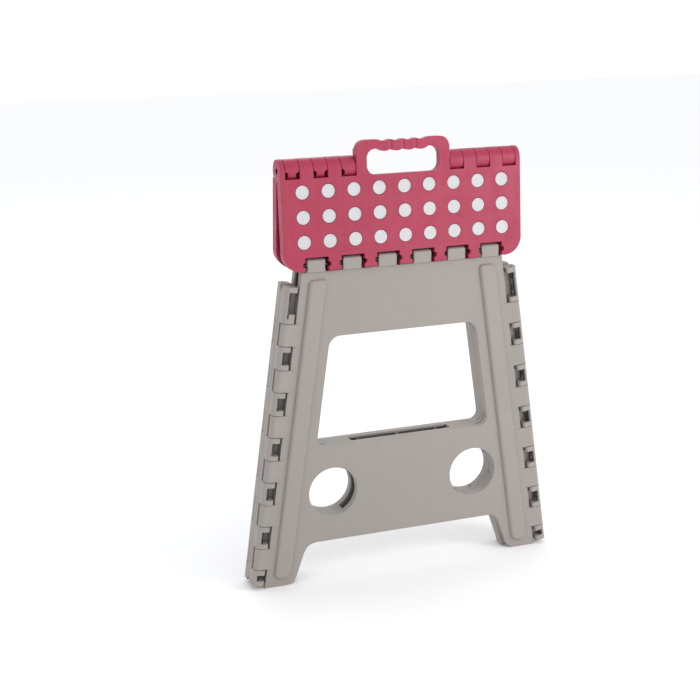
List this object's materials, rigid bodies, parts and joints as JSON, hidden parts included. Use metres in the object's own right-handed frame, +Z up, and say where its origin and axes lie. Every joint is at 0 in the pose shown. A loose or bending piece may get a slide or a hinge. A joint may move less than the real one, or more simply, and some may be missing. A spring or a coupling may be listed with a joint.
{
  "type": "folding step stool",
  "caption": "Low folding step stool of moulded plastic: two leg panels, two folding side panels and a hinged two-leaf top with a handle and raised grip dots.",
  "frame": {"origin": "middle of the folded stool, on the floor between the two leg panels", "axes": "+Z up, -Y out of the front leg panel, the side whose top leaf has the handle; +X to the right as seen from the front"},
  "size_m": [0.3862, 0.0428, 0.5186],
  "materials": {
    "leg_grey": "matt moulded polypropylene, warm grey",
    "top_pink": "satin moulded polypropylene, deep pink",
    "grip_white": "matt soft-touch plastic, white",
    "pin_steel": "dark drawn steel wire"
  },
  "bodies": {
    "front_leg": {"front_leg_panel": "leg_grey", "front_hook_pin": "pin_steel", "left_front_side_pin": "pin_steel", "right_front_side_pin": "pin_steel"},
    "front_top": {"front_top_leaf": "top_pink", "front_grip_row_1": "grip_white", "front_grip_row_2": "grip_white", "front_grip_row_3": "grip_white", "left_centre_pin": "pin_steel", "right_centre_pin": "pin_steel"},
    "rear_top": {"rear_top_leaf": "top_pink", "rear_grip_row_1_left": "grip_white", "rear_grip_row_1_right": "grip_white", "rear_grip_row_2": "grip_white", "rear_grip_row_3": "grip_white"},
    "rear_leg": {"rear_leg_panel": "leg_grey", "rear_hook_pin": "pin_steel", "left_rear_side_pin": "pin_steel", "right_rear_side_pin": "pin_steel"},
    "left_front_side": {"left_front_side_leaf": "leg_grey", "left_fold_pin_upper": "pin_steel", "left_fold_pin_middle": "pin_steel", "left_fold_pin_lower": "pin_steel"},
    "right_front_side": {"right_front_side_leaf": "leg_grey", "right_fold_pin_upper": "pin_steel", "right_fold_pin_middle": "pin_steel", "right_fold_pin_lower": "pin_steel"},
    "left_rear_side": {"left_rear_side_leaf": "leg_grey"},
    "right_rear_side": {"right_rear_side_leaf": "leg_grey"}
  },
  "joints": [
    {"name": "top_fold", "type": "hinge", "parent": "front_leg", "child": "front_top", "pos_m": [0, -0.01275, 0.3825], "axis": [-1, 0, 0], "range_deg": [0, 85.7]},
    {"name": "centre_fold", "type": "hinge", "parent": "front_top", "child": "rear_top", "pos_m": [0, 0, 0.48821], "axis": [1, 0, 0], "range_deg": [0, 171.4]},
    {"name": "rear_leg_fold", "type": "hinge", "parent": "rear_top", "child": "rear_leg", "pos_m": [0, 0.01275, 0.3825], "axis": [-1, 0, 0], "range_deg": [0, 85.7]},
    {"name": "left_front_side_fold", "type": "hinge", "parent": "front_leg", "child": "left_front_side", "pos_m": [-0.188, -0.01275, 0], "axis": [0.1396, 0, 0.9902], "range_deg": [0, 85.7]},
    {"name": "right_front_side_fold", "type": "hinge", "parent": "front_leg", "child": "right_front_side", "pos_m": [0.188, -0.01275, 0], "axis": [0.1396, 0, -0.9902], "range_deg": [0, 85.7]},
    {"name": "left_rear_side_fold", "type": "hinge", "parent": "rear_leg", "child": "left_rear_side", "pos_m": [-0.188, 0.01275, 0], "axis": [-0.1396, 0, -0.9902], "range_deg": [0, 85.7]},
    {"name": "right_rear_side_fold", "type": "hinge", "parent": "rear_leg", "child": "right_rear_side", "pos_m": [0.188, 0.01275, 0], "axis": [-0.1396, 0, 0.9902], "range_deg": [0, 85.7]}
  ],
  "couplings": [
    {"joint": "centre_fold", "follows": "top_fold", "ratio": 2},
    {"joint": "rear_leg_fold", "follows": "top_fold", "ratio": 1},
    {"joint": "left_front_side_fold", "follows": "top_fold", "ratio": 1},
    {"joint": "right_front_side_fold", "follows": "top_fold", "ratio": 1},
    {"joint": "left_rear_side_fold", "follows": "top_fold", "ratio": 1},
    {"joint": "right_rear_side_fold", "follows": "top_fold", "ratio": 1}
  ]
}
